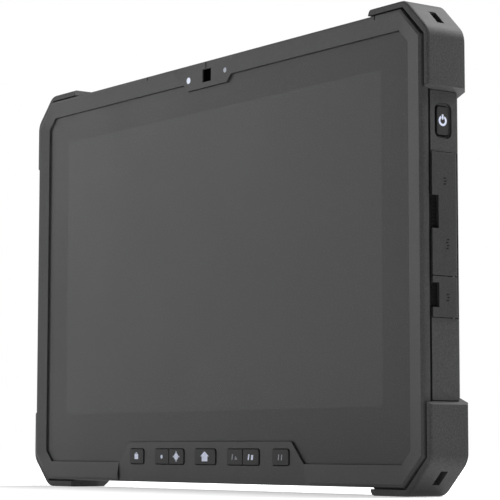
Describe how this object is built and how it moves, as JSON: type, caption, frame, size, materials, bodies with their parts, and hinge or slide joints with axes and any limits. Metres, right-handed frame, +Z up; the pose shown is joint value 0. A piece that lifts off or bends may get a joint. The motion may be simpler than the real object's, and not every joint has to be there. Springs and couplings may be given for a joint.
{
  "type": "rugged tablet data collector",
  "caption": "Rugged tablet data collector with corner bumpers, front keys, sealed port doors, latched rear batteries and a bolted rear mount.",
  "frame": {"origin": "on the floor under the bumpers, at the middle of the body's width and depth", "axes": "+X to the right across the screen, +Y out of the back, +Z up; the screen faces -Y"},
  "size_m": [0.3184, 0.0244, 0.2093],
  "materials": {
    "shell_plastic": "fine matte grain",
    "cover_glass": "matte anti-glare",
    "seal_rubber": "matte",
    "display": "switched-off screen",
    "frame_metal": "cast and machined",
    "bumper_rubber": "matte moulded",
    "screw_black": "black oxide",
    "board": "solder mask",
    "lens_black": "gloss black",
    "lamp": "clear lens",
    "bright_steel": "plated",
    "port_plastic": "moulded black",
    "copper": "rolled",
    "contact_brass": "plated brass",
    "key_plastic": "fine matte grain",
    "battery_plastic": "matte grain",
    "latch_plastic": "satin"
  },
  "bodies": {
    "housing": {"front_bezel": "shell_plastic", "touch_glass": "cover_glass", "screen_gasket": "seal_rubber", "lcd_panel": "display", "backlight_unit": "frame_metal", "mid_frame": "frame_metal", "perimeter_seal": "seal_rubber", "side_frame": "shell_plastic", "rear_housing": "shell_plastic", "right_port_bay": "shell_plastic", "left_port_bay": "shell_plastic", "bumper_top_left": "bumper_rubber", "bumper_top_right": "bumper_rubber", "bumper_bottom_left": "bumper_rubber", "bumper_bottom_right": "bumper_rubber", "bumper_screws": "screw_black", "housing_screws": "screw_black", "keypad_membrane": "seal_rubber", "keypad_board": "board", "power_switch": "board", "front_camera": "lens_black", "camera_window": "lens_black", "status_light": "lamp", "light_sensor": "lamp", "right_door_pin": "bright_steel", "left_door_pin": "bright_steel", "usb_ports": "bright_steel", "video_port": "bright_steel", "audio_jack": "port_plastic", "power_inlet": "port_plastic", "card_slot": "bright_steel", "mainboard": "board", "heat_spreader": "copper", "storage_module": "board", "wireless_module": "frame_metal", "speaker_units": "port_plastic", "antennas": "contact_brass", "battery_contacts": "contact_brass", "mount_inserts": "contact_brass", "dock_connector": "port_plastic", "rear_camera": "lens_black", "flash_light": "lamp"},
    "function_key_1": {"function_key_1": "key_plastic"},
    "volume_down_key": {"volume_down_key": "key_plastic"},
    "volume_up_key": {"volume_up_key": "key_plastic"},
    "home_key": {"home_key": "key_plastic"},
    "function_key_2": {"function_key_2": "key_plastic"},
    "function_key_3": {"function_key_3": "key_plastic"},
    "function_key_4": {"function_key_4": "key_plastic"},
    "power_button": {"power_button": "key_plastic"},
    "long_port_door": {"long_port_door": "shell_plastic", "long_door_seal": "seal_rubber"},
    "short_port_door": {"short_port_door": "shell_plastic", "short_door_seal": "seal_rubber"},
    "left_port_door": {"left_port_door": "shell_plastic", "left_door_seal": "seal_rubber"},
    "battery_left": {"battery_left": "battery_plastic"},
    "battery_latch_left": {"battery_latch_left": "latch_plastic"},
    "battery_right": {"battery_right": "battery_plastic"},
    "battery_latch_right": {"battery_latch_right": "latch_plastic"}
  },
  "joints": [
    {"name": "function_key_1_press", "type": "slide", "parent": "housing", "child": "function_key_1", "axis": [0, 1, 0], "range_m": [0, 0.0007], "stiffness_N_per_m": 700},
    {"name": "volume_down_key_press", "type": "slide", "parent": "housing", "child": "volume_down_key", "axis": [0, 1, 0], "range_m": [0, 0.0007], "stiffness_N_per_m": 700},
    {"name": "volume_up_key_press", "type": "slide", "parent": "housing", "child": "volume_up_key", "axis": [0, 1, 0], "range_m": [0, 0.0007], "stiffness_N_per_m": 700},
    {"name": "home_key_press", "type": "slide", "parent": "housing", "child": "home_key", "axis": [0, 1, 0], "range_m": [0, 0.0007], "stiffness_N_per_m": 700},
    {"name": "function_key_2_press", "type": "slide", "parent": "housing", "child": "function_key_2", "axis": [0, 1, 0], "range_m": [0, 0.0007], "stiffness_N_per_m": 700},
    {"name": "function_key_3_press", "type": "slide", "parent": "housing", "child": "function_key_3", "axis": [0, 1, 0], "range_m": [0, 0.0007], "stiffness_N_per_m": 700},
    {"name": "function_key_4_press", "type": "slide", "parent": "housing", "child": "function_key_4", "axis": [0, 1, 0], "range_m": [0, 0.0007], "stiffness_N_per_m": 700},
    {"name": "power_button_press", "type": "slide", "parent": "housing", "child": "power_button", "axis": [-1, 0, 0], "range_m": [0, 0.0006], "stiffness_N_per_m": 700},
    {"name": "long_port_door_hinge", "type": "hinge", "parent": "housing", "child": "long_port_door", "pos_m": [0.1552, 0.006, 0.1174], "axis": [0, 0, 1], "range_deg": [0, 110]},
    {"name": "short_port_door_hinge", "type": "hinge", "parent": "housing", "child": "short_port_door", "pos_m": [0.1552, 0.006, 0.0828], "axis": [0, 0, 1], "range_deg": [0, 110]},
    {"name": "left_port_door_hinge", "type": "hinge", "parent": "housing", "child": "left_port_door", "pos_m": [-0.1552, 0.006, 0.1248], "axis": [0, 0, -1], "range_deg": [0, 110]},
    {"name": "battery_left_slide", "type": "slide", "parent": "housing", "child": "battery_left", "axis": [0, 1, 0], "range_m": [0, 0.03]},
    {"name": "battery_latch_left_slide", "type": "slide", "parent": "housing", "child": "battery_latch_left", "axis": [-1, 0, 0], "range_m": [0, 0.008], "stiffness_N_per_m": 200},
    {"name": "battery_right_slide", "type": "slide", "parent": "housing", "child": "battery_right", "axis": [0, 1, 0], "range_m": [0, 0.03]},
    {"name": "battery_latch_right_slide", "type": "slide", "parent": "housing", "child": "battery_latch_right", "axis": [1, 0, 0], "range_m": [0, 0.008], "stiffness_N_per_m": 200}
  ]
}
